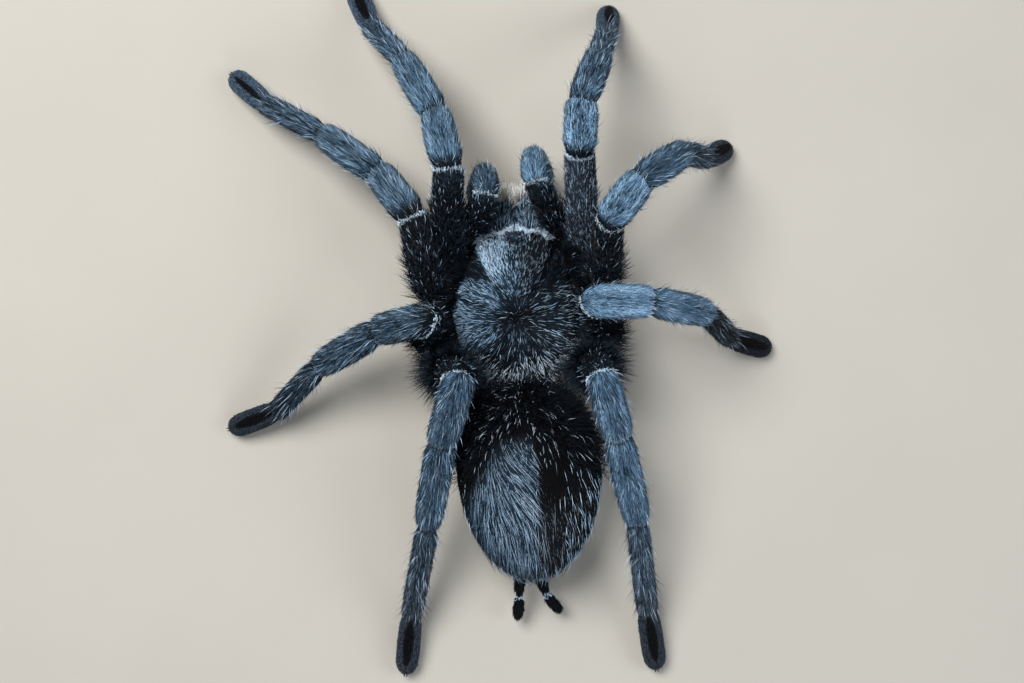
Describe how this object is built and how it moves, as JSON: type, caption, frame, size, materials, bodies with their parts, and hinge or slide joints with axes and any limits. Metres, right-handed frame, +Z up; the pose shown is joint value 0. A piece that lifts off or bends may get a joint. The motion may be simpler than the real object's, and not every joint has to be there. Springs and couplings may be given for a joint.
{
  "type": "tarantula",
  "caption": "Life-size still model of a black, steel-blue tarantula standing with its legs spread.",
  "frame": {"origin": "centre of the model's box in plan, at the level its feet stand on", "axes": "+Z up, the head faces -Y, the spider's own left is +X"},
  "size_m": [0.1062, 0.1352, 0.034],
  "materials": {
    "black_velvet": "dense short black velvet hair with a faint blue cast",
    "steel_blue_coat": "steel-blue to grey hair lying along the leg, with longer dark bristles",
    "charcoal_coat": "matt charcoal brush hair",
    "silver_black_coat": "black shell under short silver-blue hair",
    "abdomen_coat": "black velvet with long silver-blue hairs swept to the rear",
    "fang_shell": "hard glossy black horn",
    "eye_shine": "black glossy lenses"
  },
  "bodies": {
    "root": {"abdomen": "abdomen_coat", "carapace": "silver_black_coat", "chelicera_left": "silver_black_coat", "chelicera_right": "silver_black_coat", "eye_mound": "eye_shine", "fang_left": "fang_shell", "fang_right": "fang_shell", "leg_left_1_femur": "black_velvet", "leg_left_1_metatarsus": "steel_blue_coat", "leg_left_1_patella": "steel_blue_coat", "leg_left_1_tarsus": "charcoal_coat", "leg_left_1_tibia": "steel_blue_coat", "leg_left_2_femur": "black_velvet", "leg_left_2_metatarsus": "steel_blue_coat", "leg_left_2_patella": "steel_blue_coat", "leg_left_2_tarsus": "charcoal_coat", "leg_left_2_tibia": "steel_blue_coat", "leg_left_3_femur": "black_velvet", "leg_left_3_metatarsus": "steel_blue_coat", "leg_left_3_patella": "steel_blue_coat", "leg_left_3_tarsus": "charcoal_coat", "leg_left_3_tibia": "steel_blue_coat", "leg_left_4_femur": "black_velvet", "leg_left_4_metatarsus": "steel_blue_coat", "leg_left_4_patella": "steel_blue_coat", "leg_left_4_tarsus": "charcoal_coat", "leg_left_4_tibia": "steel_blue_coat", "leg_right_1_femur": "black_velvet", "leg_right_1_metatarsus": "steel_blue_coat", "leg_right_1_patella": "steel_blue_coat", "leg_right_1_tarsus": "charcoal_coat", "leg_right_1_tibia": "steel_blue_coat", "leg_right_2_femur": "black_velvet", "leg_right_2_metatarsus": "steel_blue_coat", "leg_right_2_patella": "steel_blue_coat", "leg_right_2_tarsus": "charcoal_coat", "leg_right_2_tibia": "steel_blue_coat", "leg_right_3_femur": "black_velvet", "leg_right_3_metatarsus": "steel_blue_coat", "leg_right_3_patella": "steel_blue_coat", "leg_right_3_tarsus": "charcoal_coat", "leg_right_3_tibia": "steel_blue_coat", "leg_right_4_femur": "black_velvet", "leg_right_4_metatarsus": "steel_blue_coat", "leg_right_4_patella": "steel_blue_coat", "leg_right_4_tarsus": "charcoal_coat", "leg_right_4_tibia": "steel_blue_coat", "palp_left_femur": "black_velvet", "palp_left_patella": "steel_blue_coat", "palp_left_tarsus": "charcoal_coat", "palp_left_tibia": "steel_blue_coat", "palp_right_femur": "black_velvet", "palp_right_patella": "steel_blue_coat", "palp_right_tarsus": "charcoal_coat", "palp_right_tibia": "steel_blue_coat", "pedicel": "black_velvet", "spinneret_left": "charcoal_coat", "spinneret_right": "charcoal_coat", "sternum_and_coxae": "black_velvet"}
  },
  "joints": []
}
